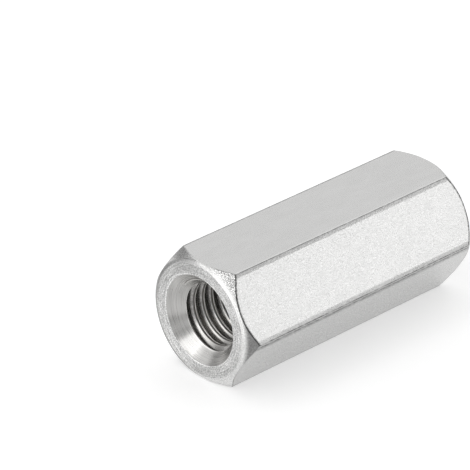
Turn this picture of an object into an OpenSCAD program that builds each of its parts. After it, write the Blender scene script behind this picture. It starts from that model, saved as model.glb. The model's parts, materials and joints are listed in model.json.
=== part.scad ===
/* [Hexagon] */
// Width across the flats, which a spanner grips
across_flats = 16; // [14:0.5:24]
// Length from one end face to the other
nut_length = 39.5; // [20:0.5:80]
// Radius along each of the six long corners
corner_radius = 0.35; // [0.1:0.05:1.5]

/* [Ends] */
// How far inside the flats the end face would meet the chamfer, were that edge left sharp
face_inset = 0.15; // [0.05:0.05:0.8]
// Angle between the end face and the chamfer
chamfer_angle = 47.5; // [30:0.5:60]
// Radius that turns the end face into the chamfer
edge_radius = 1; // [0.2:0.1:1.5]

/* [Thread] */
// Nominal diameter of the thread
thread_diameter = 10; // [6:0.5:12]
// Pitch of the thread
thread_pitch = 1.5; // [0.5:0.25:2]

/* [Countersinks] */
// How far the mouth of a countersink stands outside the nominal thread, on each side
countersink_margin = 1; // [0.25:0.25:1.25]
// Included angle of a countersink
countersink_angle = 84; // [60:1:120]

/* [Hidden] */
$fn = 96;

sides = 6;
side_angle = 360 / sides;
half_side_angle = side_angle / 2;
half_length = nut_length / 2;
flat_distance = across_flats / 2;

// Straight steps that stand for one rounded edge
arc_steps = 6;

// How far a cutting or bounding shape runs past the surface that it shapes
overrun = 1;

// Centre of a corner's arc, and the furthest point of that corner from the axis
corner_centre = (flat_distance - corner_radius) / cos(half_side_angle);
corner_reach = corner_centre + corner_radius;

// End face, then an arc, then the chamfer cone out past the corners
face_radius = flat_distance - face_inset - edge_radius * tan(chamfer_angle / 2);
cone_start_radius = face_radius + edge_radius * sin(chamfer_angle);
cone_start_depth = edge_radius * (1 - cos(chamfer_angle));
cone_end_radius = corner_reach + overrun;
cone_end_depth = cone_start_depth + (cone_end_radius - cone_start_radius) * tan(chamfer_angle);

// The bore has the minor diameter of a 60 degree metric thread
thread_triangle_height = thread_pitch * cos(30);
bore_radius = thread_diameter / 2 - 5 / 8 * thread_triangle_height;

countersink_slope = tan(countersink_angle / 2);
countersink_radius = thread_diameter / 2 + countersink_margin;
countersink_depth = (countersink_radius - bore_radius) / countersink_slope;
cutter_end_radius = countersink_radius + overrun * countersink_slope;

function polar(radius, angle) = radius * [cos(angle), sin(angle)];

function arc(centre, radius, from, to) = [
    for (i = [0 : arc_steps]) centre + polar(radius, from + (to - from) * i / arc_steps)
];

// An outline of one end, as radius and height, followed by its mirror image at the other end
function both_ends(one_end) = concat(
    one_end,
    [for (i = [len(one_end) - 1 : -1 : 0]) [one_end[i][0], -one_end[i][1]]]
);

// Hexagon of the drawn bar, with its corners rounded
module bar_section() {
    polygon([
        for (i = [0 : sides - 1])
            let (corner = half_side_angle + i * side_angle)
                each arc(
                    polar(corner_centre, corner),
                    corner_radius,
                    corner - half_side_angle,
                    corner + half_side_angle
                )
    ]);
}

// Outline of the turned ends, from the axis out past the corners
module turned_outline() {
    polygon(both_ends(concat(
        [[0, half_length]],
        arc([face_radius, half_length - edge_radius], edge_radius, 90, 90 - chamfer_angle),
        [[cone_end_radius, half_length - cone_end_depth]]
    )));
}

// Outline of the bore and its countersinks
module bore_outline() {
    polygon(both_ends([
        [0, half_length + overrun],
        [cutter_end_radius, half_length + overrun],
        [bore_radius, half_length - countersink_depth]
    ]));
}

// Hexagon bar with both ends turned, lying on a flat with its thread along X
module coupling_nut() {
    color("silver")
        rotate([0, 90, 0])
            difference() {
                intersection() {
                    linear_extrude(height = nut_length + 2 * overrun, center = true)
                        bar_section();
                    rotate_extrude()
                        turned_outline();
                }
                rotate_extrude()
                    bore_outline();
            }
}

coupling_nut();
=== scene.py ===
"""Looks of a hexagon coupling nut: its mesh with the cut thread, its steel and a plain studio."""

import json
import math

import bpy
import numpy as np
from mathutils import Matrix, Vector


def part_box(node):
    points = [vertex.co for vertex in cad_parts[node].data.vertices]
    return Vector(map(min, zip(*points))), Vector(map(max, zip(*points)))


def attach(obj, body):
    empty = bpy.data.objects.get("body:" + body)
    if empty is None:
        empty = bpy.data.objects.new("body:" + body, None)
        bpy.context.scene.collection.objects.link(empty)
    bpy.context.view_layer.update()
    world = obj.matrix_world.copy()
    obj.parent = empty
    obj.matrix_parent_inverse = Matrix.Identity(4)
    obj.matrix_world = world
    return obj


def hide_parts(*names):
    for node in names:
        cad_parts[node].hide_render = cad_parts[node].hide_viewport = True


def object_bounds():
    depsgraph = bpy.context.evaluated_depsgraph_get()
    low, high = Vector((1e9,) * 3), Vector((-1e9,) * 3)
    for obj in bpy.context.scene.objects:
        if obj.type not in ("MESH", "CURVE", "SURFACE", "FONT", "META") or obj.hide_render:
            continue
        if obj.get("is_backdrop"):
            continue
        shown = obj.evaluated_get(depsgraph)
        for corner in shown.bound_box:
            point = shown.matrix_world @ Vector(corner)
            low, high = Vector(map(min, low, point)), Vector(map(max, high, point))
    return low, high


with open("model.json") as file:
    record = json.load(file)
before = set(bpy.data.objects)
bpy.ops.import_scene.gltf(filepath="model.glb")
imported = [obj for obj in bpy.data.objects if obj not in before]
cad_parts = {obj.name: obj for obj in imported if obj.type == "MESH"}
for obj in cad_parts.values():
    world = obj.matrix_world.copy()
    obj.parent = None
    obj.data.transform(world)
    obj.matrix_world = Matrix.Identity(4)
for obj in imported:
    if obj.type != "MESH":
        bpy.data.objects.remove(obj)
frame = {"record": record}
cad_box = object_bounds()

# Sizes that the frame gives, in metres
MM = 0.001
NODE = "coupling_nut"
low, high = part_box(NODE)
thread_dims = next(m["dims"] for m in frame["record"]["mounts"] if m["name"] == "thread")
HALF_LENGTH = (high.x - low.x) / 2
FLAT_DISTANCE = (high.z - low.z) / 2
CORNER_REACH = (high.y - low.y) / 2
BORE_RADIUS = thread_dims["r_mm"] * MM
COUNTERSINK_DEPTH = HALF_LENGTH - thread_dims["length_mm"] * MM / 2

# Hexagon bar, whose flats have margins that bend and then lean towards the corners
SIDES = 6
SIDE_ANGLE = math.tau / SIDES
SHARP_CORNER = FLAT_DISTANCE / math.cos(SIDE_ANGLE / 2)
CORNER_RADIUS = (SHARP_CORNER - CORNER_REACH) / (SHARP_CORNER / FLAT_DISTANCE - 1)
CORNER_CENTRE = CORNER_REACH - CORNER_RADIUS
FLAT_HALF_WIDTH = CORNER_CENTRE * math.sin(SIDE_ANGLE / 2)
MARGIN_WIDTH = 0.45 * MM
MARGIN_LEAN = math.radians(8)
MARGIN_BEND = 0.4
MARGIN_DROP = MARGIN_WIDTH * math.tan(MARGIN_LEAN) * (1 - MARGIN_BEND / 2)

# Turned ends
CHAMFER_ANGLE = math.radians(47.5)
EDGE_RADIUS = 1.0 * MM
FACE_INSET = 0.15 * MM
FACE_RADIUS = FLAT_DISTANCE - FACE_INSET - EDGE_RADIUS * math.tan(CHAMFER_ANGLE / 2)
CONE_START = FACE_RADIUS + EDGE_RADIUS * math.sin(CHAMFER_ANGLE)

# Radii over which a turned end passes into its rounded edge, out of it, into the facets and into their grain
ROUNDED_FROM = (FLAT_DISTANCE - 0.6 * MM, FLAT_DISTANCE - 0.4 * MM)
ROUNDED_UNTIL = (FLAT_DISTANCE - 0.1 * MM, FLAT_DISTANCE + 0.1 * MM)
FACET_FROM = (FLAT_DISTANCE, FLAT_DISTANCE + 0.3 * MM)
GRAIN_FROM = (FLAT_DISTANCE + 0.05 * MM, FLAT_DISTANCE + 0.4 * MM)

# Countersinks
COUNTERSINK_LEAN = math.radians(42)
COUNTERSINK_RADIUS = BORE_RADIUS + COUNTERSINK_DEPTH * math.tan(COUNTERSINK_LEAN)

# Right-hand metric thread, made longer than the nut and then cut by the countersinks
PITCH = 1.5 * MM
FLANK_LEAN = math.radians(30)
THREAD_DEPTH = 5 / 8 * PITCH * math.cos(FLANK_LEAN)
CREST_HALF_WIDTH = PITCH / 8
THREAD_START = -0.6 * MM
SPARE_TURNS = 4
SPARE_LENGTH_BEFORE = 2.5 * PITCH

# Broken edges
MOUTH_BREAK = 0.10 * MM
RIM_BREAK = 0.10 * MM
CREST_BREAK = 0.04 * MM
ROOT_BREAK = 0.10 * MM

# Lip that the tap leaves along one edge of the thread's crest
LIP_HEIGHT = 0.035 * MM
LIP_TOP_LEAN = math.radians(-22.5)
LIP_FOOT_LEAN = math.radians(-54)

# Steps of the mesh
FLAT_STEPS = 12
MARGIN_STEPS = 5
CORNER_STEPS = 8
BREAK_STEPS = 3
RING_STEPS = 3
CHAMFER_STEPS = 12
SIDE_STEPS = 12
FLANK_STEPS = 2
CREST_BREAK_SHARES = (0, 0.33, 0.67)

# Strips at each end of the flats, where the painted shade of the turned edge fades
FLAT_STRIPS = 2

# Angles that differ by less than this are taken as equal
SMALL_ANGLE = 1e-6

# Places of the finishes in the nut's material list
DRAWN, TURNED, COUNTERSUNK, TAPPED = range(4)

# Shade of an edge or a surface, painted into its grey: from a dark line of painted shade, through plain, to a
# painted highlight
DARK, PLAIN, PAINTED_HIGHLIGHT = 1.0, 0.0, -1.0

# Strength of the dark lines along the bar's corners, by the height of the surface's normal; these lines are
# painted shade
LINE_HEIGHTS = (-0.1, 0.2, 0.5, 0.9)
LINE_STRENGTHS = (1.1, 1.2, 0.4, 0.9)

# Upper corners: a sharp line of painted shade at this place, which goes from 1 before the corner to -1 after
# it
UPPER_HEIGHT = 0.5
SHARP_LINE_PLACE = -0.25
SHARP_LINE_SHADE = 2.1
SHARP_LINE_FALL = 6

# Corners at the sides: a wide line, a slightly dark margin above it, and a second line on the margin below,
# all painted shade
WIDE_LINE_SHADE = 1.3
WIDE_LINE_FALL = 1.5
UPPER_MARGIN_SHADE = 0.2
LOWER_HALF_PLACES = (0, 0.25, 0.5, 1)
LOWER_HALF_SHADES = (1.3, 0.6, 0, -0.1)
SECOND_LINE_REACH = 2.5 * MARGIN_WIDTH
SECOND_LINE_PLACES = (0, 0.6, 0.8, 0.9, 1)
SECOND_LINE_SHADES = (0, 0.75, 0.95, 0.7, 0)
LOWEST_LINE_HEIGHT = -0.51

# Painted shade round a turned end, from +Y towards +Z: on the flats' curved ends, and on the corners' facets,
# painted shade on some and painted highlights on others
FLAT_END_SHADES = np.array([0.5, 0.0, 1.3, 0.15, 0.4, 0.8])
FACET_SHADES = np.array([0.3, 0.0, -0.8, 0.62, -0.9, 0.2])

# Painted shade and highlights on the end's ring and on its rounded edge, every 30 degrees from +Y towards +Z
RING_SHADES = (0, 0.1, 0.3, 0.1, 0, -0.15, -0.05, -0.05, -0.05, 0.1, -0.25, -0.15)
ROUNDED_EDGE_SHADES = (0.6, 0.9, 0.6, -0.2, -0.6, -0.45, -0.25, -0.1, -0.2, -0.2, 0.5, 0.6)

# Painted highlights on the countersinks, and painted highlights and shade on the thread's flanks, at degrees
# from +Y towards +Z
CONE_SHADE_PLACES = (-90, -78, -56, -43, 20, 60, 100, 140)
CONE_SHADES = (-0.1, -0.65, -0.65, 0, 0, -0.5, -0.4, 0)
FLANK_SHADE_PLACES = (-90, -75, -60, -48, -33, -15, 20, 60, 100, 140, 200)
FLANK_SHADES = (0, -0.6, -0.95, -0.95, 0.55, 0.85, 0.75, 0.6, 0.35, 0, 0)
FLANK_SHADE_FADING = 0.8
# Painted highlight along the thread's lip
LIP_SHADE = -0.8


def unit(vectors):
    return vectors / np.linalg.norm(vectors, axis=-1, keepdims=True)


def around(angles, axial, radial):
    """Points, or normals, at these angles round the axis, from +Y towards +Z."""
    axial, radial, angles = np.broadcast_arrays(axial, radial, angles)
    return np.stack([axial, radial * np.cos(angles), radial * np.sin(angles)], axis=-1)


def around_shade(angles, shades, places=None):
    """Shade at these angles, between the ones given at places in degrees, or at even steps."""
    if places is None:
        places = np.arange(len(shades)) * 360 / len(shades)
    return np.interp(np.degrees(angles), places, shades, period=360)


def curved(before, corner, after, share):
    """A point of the quadratic curve that breaks a corner."""
    return [
        (1 - share) ** 2 * a + 2 * share * (1 - share) * b + share**2 * c
        for a, b, c in zip(before, corner, after)
    ]


def column_angles():
    """Angles of the mesh's columns: each flat between its margins, then the rounded corner after it."""
    even = math.atan2(FLAT_HALF_WIDTH - MARGIN_WIDTH, FLAT_DISTANCE)
    edge = math.atan2(FLAT_HALF_WIDTH, FLAT_DISTANCE)
    spans = (
        (-edge, -even, MARGIN_STEPS),
        (-even, even, FLAT_STEPS),
        (even, edge, MARGIN_STEPS),
        (edge, SIDE_ANGLE - edge, CORNER_STEPS),
    )
    sector = np.concatenate([np.linspace(*span, endpoint=False) for span in spans])
    return np.concatenate([sector + (side + 0.5) * SIDE_ANGLE for side in range(SIDES)])


def corner_shade(normal, place, margin, second_line, on_flat, upper_half):
    """How dark the painted shade along the corners is, at a place before or after a corner and on the
    margins.
    """
    height = np.sin(normal)
    upper = height > UPPER_HEIGHT
    past_line = np.clip(np.abs(place - SHARP_LINE_PLACE), 0, 1)
    sharp_line = SHARP_LINE_SHADE * (1 - past_line) ** SHARP_LINE_FALL
    wide_line = WIDE_LINE_SHADE * (1 - np.abs(place)) ** WIDE_LINE_FALL
    upper_margin = np.where(upper, 0, UPPER_MARGIN_SHADE * margin)
    above = np.where(on_flat, upper_margin, np.where(upper, sharp_line, wide_line))
    lower_half = np.interp(np.abs(place), LOWER_HALF_PLACES, LOWER_HALF_SHADES)
    lower_margin = np.interp(second_line, SECOND_LINE_PLACES, SECOND_LINE_SHADES)
    below = np.where(on_flat, lower_margin, lower_half)
    below = np.where(upper_half & (height > LOWEST_LINE_HEIGHT), below, 0)
    strength = np.interp(height, LINE_HEIGHTS, LINE_STRENGTHS)
    return strength * np.where(height < 0, below, above)


def bar_side(angles):
    """Distance from the axis to the bar's side, the angle of its normal, and how dark the painted shade along
    the corner is there.
    """
    middle = (np.floor(angles / SIDE_ANGLE) + 0.5) * SIDE_ANGLE
    off = angles - middle
    side = np.where(off < 0, -1, 1)
    past = SIDE_ANGLE / 2 - np.abs(off)

    # Flat, whose margins bend down and then lean towards the corners
    across = FLAT_DISTANCE * np.tan(np.abs(off))
    margin = np.clip((across - FLAT_HALF_WIDTH) / MARGIN_WIDTH + 1, 0, 1)
    bend = np.minimum(margin / MARGIN_BEND, 1)
    drop = MARGIN_WIDTH * math.tan(MARGIN_LEAN) * (margin - bend * MARGIN_BEND + bend**2 * MARGIN_BEND / 2)
    lean = MARGIN_LEAN * bend
    flat = (FLAT_DISTANCE - drop) / np.cos(off)

    # Rounded corner, lowered to meet the margins
    reach = CORNER_CENTRE * np.sin(past)
    rounded = CORNER_CENTRE * np.cos(past) + np.sqrt(np.clip(CORNER_RADIUS**2 - reach**2, 0, None))
    turn = np.arcsin(np.clip(rounded * np.sin(past) / CORNER_RADIUS, 0, 1))
    share = np.clip(turn / (SIDE_ANGLE / 2), 0, 1)
    on_flat = turn >= SIDE_ANGLE / 2 - SMALL_ANGLE
    distance = np.where(on_flat, flat, rounded - MARGIN_DROP / math.cos(SIDE_ANGLE / 2) * share)
    rounded_lean = SIDE_ANGLE / 2 - share * (SIDE_ANGLE / 2 - MARGIN_LEAN)
    normal = middle + side * np.where(on_flat, lean, rounded_lean)

    second_line = np.clip((across - FLAT_HALF_WIDTH) / SECOND_LINE_REACH + 1, 0, 1)
    upper_half = off * np.cos(middle) > 0
    return distance, normal, corner_shade(normal, side * share, margin, second_line, on_flat, upper_half)


def turned_end(radius):
    """Depth below the end face at a radius, and the slope of the surface there."""
    slope = np.arcsin(np.clip((radius - FACE_RADIUS) / EDGE_RADIUS, 0, math.sin(CHAMFER_ANGLE)))
    cone = np.clip(radius - CONE_START, 0, None) * math.tan(CHAMFER_ANGLE)
    return EDGE_RADIUS * (1 - np.cos(slope)) + cone, slope


def end_rows(angles):
    """Rows of points, normals and painted shades at the -X end, from the countersink's mouth onto the flats.
    """
    side, side_turn, line_shade = bar_side(angles)
    face = -HALF_LENGTH
    plain = np.zeros_like(angles)
    rows = []

    # Mouth of the countersink, whose broken edge has a painted highlight
    lean = np.array([math.cos(COUNTERSINK_LEAN), -math.sin(COUNTERSINK_LEAN)])
    mouth = np.array([face, COUNTERSINK_RADIUS])
    ring_start = mouth + [0, MOUTH_BREAK]
    cone_normal = around(angles, lean[1], -lean[0])
    face_normal = around(angles, -1, 0)
    for share in np.linspace(0, 1, BREAK_STEPS + 1):
        x, radius = curved(mouth + MOUTH_BREAK * lean, mouth, ring_start, share)
        normal = unit((1 - share) * cone_normal + share * face_normal)
        rows.append((around(angles, x, radius), normal, plain + PAINTED_HIGHLIGHT / 2 * (0 < share < 1)))

    # Flat ring, with painted shade and highlights round it
    ring_shade = around_shade(angles, RING_SHADES)
    for radius in np.linspace(ring_start[1], FACE_RADIUS, RING_STEPS + 1)[1:]:
        rows.append((around(angles, face, radius), face_normal, ring_shade))

    # Rounded edge and chamfer, with painted shade and highlights round the edge and on the facets
    rim = side - RIM_BREAK * math.cos(CHAMFER_ANGLE)
    facet_shade = FACET_SHADES[np.round(angles / SIDE_ANGLE).astype(int) % SIDES]
    rounded_shade = around_shade(angles, ROUNDED_EDGE_SHADES)
    for share in np.linspace(0, 1, CHAMFER_STEPS + 1)[1:]:
        radius = FACE_RADIUS + share * (rim - FACE_RADIUS)
        depth, slope = turned_end(radius)
        normal = around(angles, -np.cos(slope), np.sin(slope))
        shade = np.interp(radius, ROUNDED_FROM + ROUNDED_UNTIL, (0, 1, 1, 0)) * rounded_shade
        shade += np.interp(radius, FACET_FROM, (0, 1)) * facet_shade
        rows.append((around(angles, face + depth, radius), normal, shade))

    # Broken edge between the chamfer and the flats, with painted shade on the flats' curved ends
    rim_point, rim_normal, _ = rows[-1]
    depth, _ = turned_end(side)
    corner = around(angles, face + depth, side)
    side_point = around(angles, face + depth + RIM_BREAK, side)
    side_normal = around(side_turn, 0, 1)
    end_shade = FLAT_END_SHADES[np.floor(angles / SIDE_ANGLE).astype(int) % SIDES]
    for share in np.linspace(0, 1, BREAK_STEPS + 1)[1:]:
        point = np.array(curved(rim_point, corner, side_point, share))
        normal = unit((1 - share) * rim_normal + share * side_normal)
        rows.append((point, normal, end_shade))
    rows.append((side_point + [RIM_BREAK, 0, 0], side_normal, np.maximum(line_shade, end_shade / 2)))
    rows.append((side_point + [2 * RIM_BREAK, 0, 0], side_normal, line_shade))
    return rows


def outer_rows(angles):
    """Rows from the -X countersink's mouth over the whole outside to the +X one, and each strip's finish."""
    near = end_rows(angles)
    flip = np.array([-1, 1, 1])
    far = [(points * flip, normals * flip, shades) for points, normals, shades in reversed(near)]
    (start, normal, shade), (stop, _, _) = near[-1], far[0]
    shares = np.linspace(0, 1, SIDE_STEPS + 1)[1:-1]
    flats = [(start + share * (stop - start), normal, shade) for share in shares]
    turned = [TURNED] * (len(near) - 1 - FLAT_STRIPS)
    drawn = [DRAWN] * (SIDE_STEPS + 2 * FLAT_STRIPS)
    return near + flats + far, turned + drawn + turned


def thread_outline():
    """One pitch of the thread: place, height, lean of the normal, share of the flank's painted light and
    shade, own painted highlight.
    """
    rise = np.array([math.sin(FLANK_LEAN), math.cos(FLANK_LEAN)])
    flank_normal = math.pi / 2 - FLANK_LEAN
    crest_corner = np.array([CREST_HALF_WIDTH, 0])
    root_corner = crest_corner + rise * THREAD_DEPTH / rise[1]
    root_middle = np.array([PITCH / 2, THREAD_DEPTH])
    crest = (crest_corner - [CREST_BREAK, 0], crest_corner, crest_corner + CREST_BREAK * rise)
    root = (root_corner - ROOT_BREAK * rise, root_corner, root_middle)
    half = [(*curved(*crest, share), share * flank_normal, share, PLAIN) for share in CREST_BREAK_SHARES]
    for share in np.linspace(0, 1, FLANK_STEPS + 1):
        point = crest[2] + share * (root[0] - crest[2])
        half.append((*point, flank_normal, 1 - FLANK_SHADE_FADING * share, PLAIN))
    half.append((*curved(*root, 0.5), flank_normal / 2, 0, PLAIN))
    middle = [(*root_middle, 0, 0, PLAIN)]
    other_half = [(PITCH - place, height, -lean, *shades) for place, height, lean, *shades in reversed(half)]

    # The lip stands beside the crest's break, at one edge only, with a painted highlight
    lip = crest[0][0]
    half[:1] = [
        (lip - 2 * LIP_HEIGHT, 0, 0, 0, PLAIN),
        (lip - LIP_HEIGHT, LIP_HEIGHT, LIP_TOP_LEAN, 0, LIP_SHADE),
        (lip, 0, LIP_FOOT_LEAN, 0, LIP_SHADE),
    ]
    return np.array(half + middle + other_half)


def bore_rows(angles):
    """Thread rows for each column from before the -X mouth to past the +X one, cut by the countersinks."""
    outline = thread_outline()
    turns = math.ceil(2 * HALF_LENGTH / PITCH) + SPARE_TURNS
    start = -HALF_LENGTH - SPARE_LENGTH_BEFORE + THREAD_START
    place = (np.arange(turns)[:, None] * PITCH + outline[:, 0]).ravel()
    height, lean, flank, shade = (np.tile(values, turns)[:, None] for values in outline[:, 1:].T)
    # Painted highlights on the lower flanks and painted shade on the higher ones
    shade = shade + flank * around_shade(angles, FLANK_SHADES, FLANK_SHADE_PLACES)
    x = start + place[:, None] + PITCH * angles / math.tau
    columns = (BORE_RADIUS + height, lean, shade)
    radius, lean, shade = (np.broadcast_to(values, x.shape) + 0 for values in columns)
    cone = COUNTERSINK_RADIUS - (HALF_LENGTH - np.abs(x)) * math.tan(COUNTERSINK_LEAN)
    over = cone - radius
    on_cone = over > 0

    # Each column's points next to the countersink's edge move onto that edge, with a painted highlight there
    for cut, kept in ((slice(None, -1), slice(1, None)), (slice(1, None), slice(None, -1))):
        ends = on_cone[cut] & ~on_cone[kept]
        share = (over[cut] / np.where(ends, over[cut] - over[kept], 1))[ends]
        for values in (x, radius):
            values[cut][ends] += share * (values[kept][ends] - values[cut][ends])
        lean[cut][ends] = lean[kept][ends]
        shade[cut][ends] = PAINTED_HIGHLIGHT

    # The other points past the edge lie on the countersink, with its painted highlights
    inside = on_cone & (shade != PAINTED_HIGHLIGHT)
    radius[inside] = cone[inside]
    cone_shade = around_shade(angles, CONE_SHADES, CONE_SHADE_PLACES)
    shade[inside] = np.broadcast_to(cone_shade, x.shape)[inside]
    points = around(angles, x, radius)
    cone_normals = around(angles, np.sign(x) * math.sin(COUNTERSINK_LEAN), -math.cos(COUNTERSINK_LEAN))
    thread_normals = around(angles, np.sin(lean), -np.cos(lean))
    return points, cone_normals, thread_normals, shade, on_cone, len(outline)


def strips(index, next_column):
    """Quads between the rows and columns of an index table, as an array of corner indices."""
    right = np.concatenate([index[:, 1:], next_column[:, None]], axis=1)
    return np.stack([index[:-1], right[:-1], right[1:], index[1:]], axis=-1)


def bore_faces(quads, cut):
    """Faces of the bore and their finishes; a quad with one corner off the countersink is split there."""
    for quad, on in zip(quads[:, ::-1].tolist(), cut[:, ::-1].tolist()):
        if sum(on) == 3:
            free = on.index(False)
            tapped = [quad[free - 1], quad[free], quad[(free + 1) % 4]]
            pieces = [(tapped, TAPPED), (quad[:free] + quad[free + 1:], COUNTERSUNK)]
        else:
            pieces = [(quad, COUNTERSUNK if all(on) else TAPPED)]
        for corners, finish in pieces:
            corners = list(dict.fromkeys(corners))
            if len(corners) > 2:
                yield corners, finish


def nut_mesh():
    """The whole nut as one closed mesh with its own normals."""
    angles = column_angles()
    count = len(angles)
    rows, row_finish = outer_rows(angles)
    outer = np.arange(len(rows) * count).reshape(len(rows), count)
    outer_quads = strips(outer, outer[:, 0]).reshape(-1, 4)
    faces = outer_quads.tolist()
    finishes = np.repeat(row_finish, count).tolist()

    # The bore shares the first and last outer rows, where its rows run out
    bore_points, cone_normals, thread_normals, bore_shades, on_cone, per_turn = bore_rows(angles)
    limit = HALF_LENGTH - MOUTH_BREAK * math.cos(COUNTERSINK_LEAN)
    before, after = bore_points[..., 0] <= -limit, bore_points[..., 0] >= limit
    kept = ~(before | after)
    bore = np.where(before, outer[0], outer[-1])
    bore[kept] = outer.size + np.arange(kept.sum())
    last = np.full(per_turn, outer[-1][0])
    bore_quads = strips(bore, np.concatenate([bore[per_turn:, 0], last])).reshape(-1, 4)
    cut = strips(on_cone | ~kept, np.concatenate([on_cone[per_turn:, 0], last > 0])).reshape(-1, 4)
    for corners, finish in bore_faces(bore_quads, cut):
        faces.append(corners)
        finishes.append(finish)

    points, normals, shades = (np.concatenate(values) for values in zip(*rows))
    points = np.concatenate([points, bore_points[kept]])
    shades = np.concatenate([shades, bore_shades[kept]])
    plain_normals = np.concatenate([normals, cone_normals[kept]])
    tapped_normals = np.concatenate([normals, thread_normals[kept]])
    corner_normals = [
        (tapped_normals if finish == TAPPED else plain_normals)[corner]
        for corners, finish in zip(faces, finishes)
        for corner in corners
    ]

    mesh = bpy.data.meshes.new("nut")
    mesh.from_pydata(points, [], faces)
    mesh.polygons.foreach_set("material_index", finishes)
    # Painted light and shade of each point, which the materials read
    mesh.attributes.new("painted_light_and_shade", "FLOAT", "POINT").data.foreach_set("value", shades)
    mesh.shade_smooth()
    mesh.normals_split_custom_set(corner_normals)
    return mesh


def add_node(tree, kind, inputs, **settings):
    """A shader node with these settings, its inputs given as values or as other nodes' outputs."""
    node = tree.nodes.new("ShaderNode" + kind)
    for name, value in settings.items():
        setattr(node, name, value)
    for key, value in inputs.items():
        if isinstance(value, bpy.types.NodeSocket):
            tree.links.new(value, node.inputs[key])
        else:
            node.inputs[key].default_value = value
    return node


def math_node(tree, operation, *values):
    return add_node(tree, "Math", dict(enumerate(values)), operation=operation).outputs[0]


def place_on_nut(tree):
    """Coordinates on the nut, in metres."""
    return add_node(tree, "TexCoord", {}).outputs["Object"]


def distance_from_axis(tree):
    flat = add_node(tree, "VectorMath", {0: place_on_nut(tree), 1: (0, 1, 1)}, operation="MULTIPLY")
    return add_node(tree, "VectorMath", {0: flat.outputs[0]}, operation="LENGTH").outputs["Value"]


def turned_place(tree):
    """The distance from the axis in metres, and the direction from it."""
    place = add_node(tree, "SeparateXYZ", {0: place_on_nut(tree)}).outputs
    radius = distance_from_axis(tree)
    return add_node(tree, "CombineXYZ", {
        0: radius,
        1: math_node(tree, "DIVIDE", place[1], radius),
        2: math_node(tree, "DIVIDE", place[2], radius),
    }).outputs[0]


def noise(tree, coordinates, size, detail=3.0):
    """Noise whose grains have this size along each coordinate."""
    scale = [1 / length for length in size]
    mapped = add_node(tree, "Mapping", {"Vector": coordinates, "Scale": scale}).outputs[0]
    return add_node(tree, "TexNoise", {"Vector": mapped, "Scale": 1.0, "Detail": detail}).outputs[0]


def spread(tree, value, ends, values):
    """A value between two ends spread over two others."""
    ends = {"From Min": ends[0], "From Max": ends[1], "To Min": values[0], "To Max": values[1]}
    return add_node(tree, "MapRange", {"Value": value, **ends}).outputs[0]


def blend(tree, share, first, second):
    """Two numbers mixed."""
    return add_node(tree, "Mix", {"Factor": share, 2: first, 3: second}).outputs[0]


# Ends between which a noise is spread: nearly all of its values, or the middle ones alone
NOISE_ENDS = (0.25, 0.75)
NOISE_MIDDLE = (0.35, 0.65)

# Tints of the steel
STEEL = (1.0, 0.998, 0.99)
WARM_STEEL = (1.0, 0.98, 0.95)
LESS_WARM_STEEL = (1.0, 0.99, 0.97)

# Breaks in the dark lines, and the factors on a surface's grey at the darkest painted shade and the brightest
# painted highlight
LINE_BREAK_SIZE = (0.6 * MM, 0.3 * MM, 0.3 * MM)
LINE_BREAK_ENDS = (0.34, 0.60)
DARKEST = 0.2
BRIGHTEST = 2


def painted_light_factor(tree, least):
    """Factor on the grey from the painted light and shade; breaks leave this least share of a dark line."""
    edge = add_node(tree, "Attribute", {}, attribute_name="painted_light_and_shade").outputs["Fac"]
    breaks = spread(tree, noise(tree, place_on_nut(tree), LINE_BREAK_SIZE), LINE_BREAK_ENDS, (least, 1))
    broken = math_node(tree, "MULTIPLY", breaks, edge)
    darkened = spread(tree, broken, (PLAIN, DARK), (1, DARKEST))
    return math_node(tree, "MULTIPLY", darkened, spread(tree, edge, (PAINTED_HIGHLIGHT, PLAIN), (BRIGHTEST, 1)))


def steel(name, grey, roughness, relief, depth, anisotropy=0.0, tint=STEEL, least=0.45):
    """Bare stainless steel whose grey, roughness and relief, each a function of the node tree, vary."""
    material = bpy.data.materials.new(name)
    material.use_nodes = True
    tree = material.node_tree
    shader = tree.nodes["Principled BSDF"]
    shader.inputs["Metallic"].default_value = 1.0
    # The grey carries the painted light and shade
    edged = math_node(tree, "MULTIPLY", grey(tree), painted_light_factor(tree, least))
    limited = math_node(tree, "MINIMUM", edged, 1.0)
    tinted = {0: add_node(tree, "CombineXYZ", dict.fromkeys(range(3), limited)).outputs[0], 1: tint}
    colour = add_node(tree, "VectorMath", tinted, operation="MULTIPLY").outputs[0]
    bump = add_node(tree, "Bump", {"Height": relief(tree), "Strength": 1.0, "Distance": depth})
    tree.links.new(colour, shader.inputs["Base Color"])
    tree.links.new(roughness(tree), shader.inputs["Roughness"])
    tree.links.new(bump.outputs[0], shader.inputs["Normal"])
    if anisotropy:
        quarter_turn = 0.25
        shader.inputs["Anisotropic"].default_value = anisotropy
        shader.inputs["Anisotropic Rotation"].default_value = quarter_turn
        around_axis = add_node(tree, "Tangent", {}, direction_type="RADIAL", axis="X")
        tree.links.new(around_axis.outputs[0], shader.inputs["Tangent"])
    return material


def drawn_steel():
    """Flats of the drawn bar: fine strokes along the bar, speckles and broad mottling."""
    stroke_size = (1.2 * MM, 0.14 * MM, 0.14 * MM)
    speckle_size = (0.2 * MM, 0.17 * MM, 0.17 * MM)
    mottle_size = (3 * MM, 1.2 * MM, 1.2 * MM)

    def strokes(tree):
        return noise(tree, place_on_nut(tree), stroke_size, 4.0)

    def speckles(tree):
        return noise(tree, place_on_nut(tree), speckle_size, 2.0)

    def mottling(tree):
        return noise(tree, place_on_nut(tree), mottle_size)

    def grey(tree):
        fine = blend(tree, 0.5, strokes(tree), speckles(tree))
        return spread(tree, blend(tree, 0.4, fine, mottling(tree)), NOISE_ENDS, (0.56, 0.65))

    def roughness(tree):
        return spread(tree, blend(tree, 0.25, speckles(tree), mottling(tree)), NOISE_ENDS, (0.19, 0.38))

    def relief(tree):
        return blend(tree, 0.6, strokes(tree), speckles(tree))

    return steel("drawn", grey, roughness, relief, depth=0.03 * MM, least=0.4)


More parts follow.
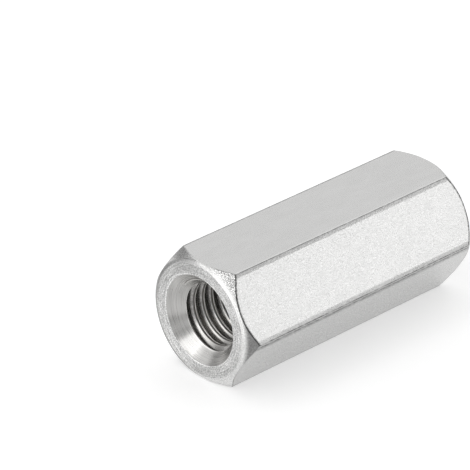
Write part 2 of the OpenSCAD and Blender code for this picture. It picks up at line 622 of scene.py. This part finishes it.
def turned_steel():
    """Turned ends: a face with rings and grains, a smooth rounded edge, and facets, one of them coarse."""
    ring_size = (0.12 * MM, 0.3, 0.3)
    grain_size = (0.17 * MM, 0.17 * MM, 0.17 * MM)
    coarse_corner = (0, math.cos(2 * SIDE_ANGLE), math.sin(2 * SIDE_ANGLE))
    coarse_from = (6 * MM, 8 * MM)

    def rings(tree):
        return noise(tree, turned_place(tree), ring_size)

    def grains(tree):
        return noise(tree, place_on_nut(tree), grain_size, 2.0)

    def reached(tree, radii):
        return spread(tree, distance_from_axis(tree), radii, (0, 1))

    def coarse(tree):
        inputs = {0: place_on_nut(tree), 1: coarse_corner}
        towards = add_node(tree, "VectorMath", inputs, operation="DOT_PRODUCT")
        return spread(tree, towards.outputs["Value"], coarse_from, (0, 1))

    def grey(tree):
        texture = blend(tree, 0.6, rings(tree), grains(tree))
        face = spread(tree, texture, NOISE_ENDS, (0.04, 1.12))
        edge = spread(tree, texture, NOISE_ENDS, (0.38, 0.78))
        fine_facet = spread(tree, grains(tree), NOISE_MIDDLE, (0.31, 0.45))
        coarse_facet = spread(tree, grains(tree), NOISE_MIDDLE, (0.15, 0.63))
        facet = blend(tree, coarse(tree), fine_facet, coarse_facet)
        inner = blend(tree, reached(tree, ROUNDED_FROM), face, edge)
        return blend(tree, reached(tree, FACET_FROM), inner, facet)

    def roughness(tree):
        face = spread(tree, grains(tree), NOISE_ENDS, (0.37, 0.49))
        edge = spread(tree, grains(tree), NOISE_ENDS, (0.14, 0.30))
        return blend(tree, reached(tree, ROUNDED_FROM), face, edge)

    def relief(tree):
        grain_height = spread(tree, coarse(tree), (0, 1), (0.7, 2.5))
        grain = math_node(tree, "MULTIPLY", grains(tree), grain_height)
        return blend(tree, spread(tree, reached(tree, GRAIN_FROM), (0, 1), (0.1, 1)), rings(tree), grain)

    return steel("turned", grey, roughness, relief, depth=0.05 * MM, anisotropy=0.9, least=0.8)


def countersunk_steel():
    """Countersinks: bright, with the cutter's rings."""
    ring_size = (0.11 * MM, 0.8, 0.8)

    def rings(tree):
        return noise(tree, turned_place(tree), ring_size, 4.0)

    def grey(tree):
        return spread(tree, rings(tree), NOISE_ENDS, (0.34, 0.53))

    def roughness(tree):
        return spread(tree, rings(tree), NOISE_ENDS, (0.22, 0.36))

    return steel(
        "countersunk", grey, roughness, rings, depth=0.010 * MM, anisotropy=0.6, tint=LESS_WARM_STEEL
    )


def tapped_steel():
    """Thread: rough crests, smooth flanks and roots with traces of the tap, roots a little darker and first
    turns darker, both painted shade.
    """
    trace_size = (0.10 * MM, 0.8, 0.8)
    crest_until = (BORE_RADIUS + 0.04 * MM, BORE_RADIUS + 0.08 * MM)
    inside_from = (HALF_LENGTH - 1.3 * PITCH, HALF_LENGTH - 2.5 * PITCH)
    root_fall = 4.0

    def traces(tree):
        return noise(tree, turned_place(tree), trace_size)

    def on_crest(tree):
        return spread(tree, distance_from_axis(tree), crest_until, (1, 0))

    def grey(tree):
        depth = spread(tree, distance_from_axis(tree), (BORE_RADIUS, BORE_RADIUS + THREAD_DEPTH), (0, 1))
        along = add_node(tree, "SeparateXYZ", {0: place_on_nut(tree)}).outputs[0]
        inside = spread(tree, math_node(tree, "ABSOLUTE", along), inside_from, (0, 1))
        crest = spread(tree, traces(tree), NOISE_ENDS, (0.46, 0.66))
        flank = spread(tree, traces(tree), NOISE_ENDS, (0.52, 0.76))
        root = spread(tree, traces(tree), NOISE_ENDS, (0.46, 0.72))
        # Darker first turns near the mouths: painted shade
        mouth = spread(tree, traces(tree), NOISE_ENDS, (0.28, 0.42))
        # A little darker towards the roots: painted shade in the grooves
        groove = blend(tree, math_node(tree, "POWER", depth, root_fall), flank, root)
        return blend(tree, inside, mouth, blend(tree, on_crest(tree), groove, crest))

    def roughness(tree):
        groove = spread(tree, traces(tree), NOISE_ENDS, (0.16, 0.30))
        crest = spread(tree, traces(tree), NOISE_ENDS, (0.42, 0.58))
        return blend(tree, on_crest(tree), groove, crest)

    return steel("tapped", grey, roughness, traces, depth=0.004 * MM, tint=WARM_STEEL)


def make_nut():
    nut = bpy.data.objects.new("nut_body", nut_mesh())
    bpy.context.scene.collection.objects.link(nut)
    for finish in (drawn_steel(), turned_steel(), countersunk_steel(), tapped_steel()):
        nut.data.materials.append(finish)
    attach(nut, "root")
    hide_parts(NODE)


# Camera, from the photograph's view of the nut
IMAGE_SIDE = 470
CENTRE_PIXEL = (314.85, 266.02)
VIEW_AZIMUTH = -45.84
VIEW_ELEVATION = 30.43
VIEW_ROLL = math.radians(2.34)
VIEW_DISTANCE = 461 * MM
PIXELS_PER_METRE = 128.59 / (16 * MM)


def direction(azimuth, elevation):
    """Unit vector at degrees from the front (-Y) towards +X, and above the floor."""
    azimuth, elevation = math.radians(azimuth), math.radians(elevation)
    return Vector((
        math.sin(azimuth) * math.cos(elevation),
        -math.cos(azimuth) * math.cos(elevation),
        math.sin(elevation),
    ))


def make_camera():
    data = bpy.data.cameras.new("camera")
    camera = bpy.data.objects.new("camera", data)
    bpy.context.scene.collection.objects.link(camera)
    back = direction(VIEW_AZIMUTH, VIEW_ELEVATION)
    focal_pixels = PIXELS_PER_METRE * VIEW_DISTANCE
    data.lens = focal_pixels * data.sensor_width / IMAGE_SIDE
    # The nut's centre lies off the picture's middle, so the camera turns a little away from it
    off = [(pixel - IMAGE_SIDE / 2) / focal_pixels for pixel in CENTRE_PIXEL]
    aim = Vector((off[0], -off[1], -1)).rotation_difference(Vector((0, 0, -1)))
    facing = (-back).to_track_quat("-Z", "Y").to_matrix()
    roll = Matrix.Rotation(VIEW_ROLL, 3, "Z")
    turn = (facing @ roll @ aim.to_matrix()).to_4x4()
    camera.matrix_world = Matrix.Translation(back * VIEW_DISTANCE) @ turn
    bpy.context.scene.camera = camera


# Floor, whose white is partly its own light, which is seen and mirrored but lights no rough surface
FLOOR_REACH = 4.0
FLOOR_GREY = 0.75
FLOOR_LIFT = 0.42


def background_rays(tree):
    """1 for the rays that show the background: to the camera, and as mirrored or seen through."""
    path = add_node(tree, "LightPath", {}).outputs
    mirrored = math_node(tree, "MAXIMUM", path["Is Glossy Ray"], path["Is Transmission Ray"])
    return math_node(tree, "MAXIMUM", path["Is Camera Ray"], mirrored)


def make_floor():
    corners = [(x * FLOOR_REACH, y * FLOOR_REACH, low.z) for x, y in ((-1, -1), (1, -1), (1, 1), (-1, 1))]
    mesh = bpy.data.meshes.new("floor")
    mesh.from_pydata(corners, [], [(0, 1, 2, 3)])
    floor = bpy.data.objects.new("floor", mesh)
    bpy.context.scene.collection.objects.link(floor)
    material = bpy.data.materials.new("floor_white")
    material.use_nodes = True
    tree = material.node_tree
    tree.nodes.remove(tree.nodes["Principled BSDF"])
    white = add_node(tree, "BsdfDiffuse", {"Color": (FLOOR_GREY, FLOOR_GREY, FLOOR_GREY, 1)})
    lift = math_node(tree, "MULTIPLY", background_rays(tree), FLOOR_LIFT)
    glow = add_node(tree, "Emission", {"Strength": lift})
    both = add_node(tree, "AddShader", {0: white.outputs[0], 1: glow.outputs[0]})
    tree.links.new(both.outputs[0], tree.nodes["Material Output"].inputs["Surface"])
    mesh.materials.append(material)
    floor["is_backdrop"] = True


# Soft lamps: degrees from the front towards +X, degrees above the floor, width and height in metres, radiance
LAMP_DISTANCE = 0.5
LAMPS = {
    "right_softbox": (40, 15.5, 0.32, 0.14, 1.35),
    "left_softbox": (-91.5, 13, 0.82, 0.26, 0.85),
    "high_softbox": (-92.5, 47, 0.345, 0.24, 1.15),
    "corner_softbox": (77, 51, 0.4, 0.4, 0.5),
    "overhead_softbox": (-155, 47, 0.46, 0.46, 0.75),
}

# The room's own light, with a soft glow behind the nut as the camera sees it
GLOW_DIRECTION = direction(134, 30)
GLOW_ENDS = (0.55, 0.95)
GLOW_STRENGTH = 0.47
ROOM_ENDS = (-0.9, 0)
ROOM_STRENGTHS = (0.4, 0.5)


def softbox(name, azimuth, elevation, width, height, radiance):
    """A soft lamp that faces the nut, of a size in metres, as bright as a surface of this radiance."""
    data = bpy.data.lights.new(name, "AREA")
    data.shape = "RECTANGLE"
    data.size, data.size_y = width, height
    data.energy = radiance * math.pi * width * height
    lamp = bpy.data.objects.new(name, data)
    bpy.context.scene.collection.objects.link(lamp)
    towards = direction(azimuth, elevation)
    turn = towards.to_track_quat("Z", "Y").to_matrix().to_4x4()
    lamp.matrix_world = Matrix.Translation(towards * LAMP_DISTANCE) @ turn
    lamp.visible_camera = False


def make_light():
    """A nearly even room with a soft glow behind the nut, and the soft lamps."""
    world = bpy.data.worlds.new("studio")
    world.use_nodes = True
    tree = world.node_tree
    ray = add_node(tree, "TexCoord", {}).outputs["Generated"]
    inputs = {0: ray, 1: GLOW_DIRECTION}
    facing = add_node(tree, "VectorMath", inputs, operation="DOT_PRODUCT").outputs["Value"]
    room = spread(tree, facing, ROOM_ENDS, ROOM_STRENGTHS)
    glow = add_node(tree, "MapRange", {
        "Value": facing,
        "From Min": GLOW_ENDS[0],
        "From Max": GLOW_ENDS[1],
        "To Min": 0,
        "To Max": GLOW_STRENGTH,
    }, interpolation_type="SMOOTHSTEP")
    strength = math_node(tree, "ADD", room, glow.outputs[0])
    tree.links.new(strength, tree.nodes["Background"].inputs["Strength"])
    tree.nodes["Background"].inputs["Color"].default_value = (1, 1, 1, 1)
    bpy.context.scene.world = world
    for name, lamp in LAMPS.items():
        softbox(name, *lamp)


make_nut()
make_camera()
make_floor()
make_light()
bpy.context.scene.view_settings.view_transform = "Standard"
boxes = {"cad": cad_box, "visual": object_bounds()}
{name: [list(corner) for corner in box] for name, box in boxes.items()}
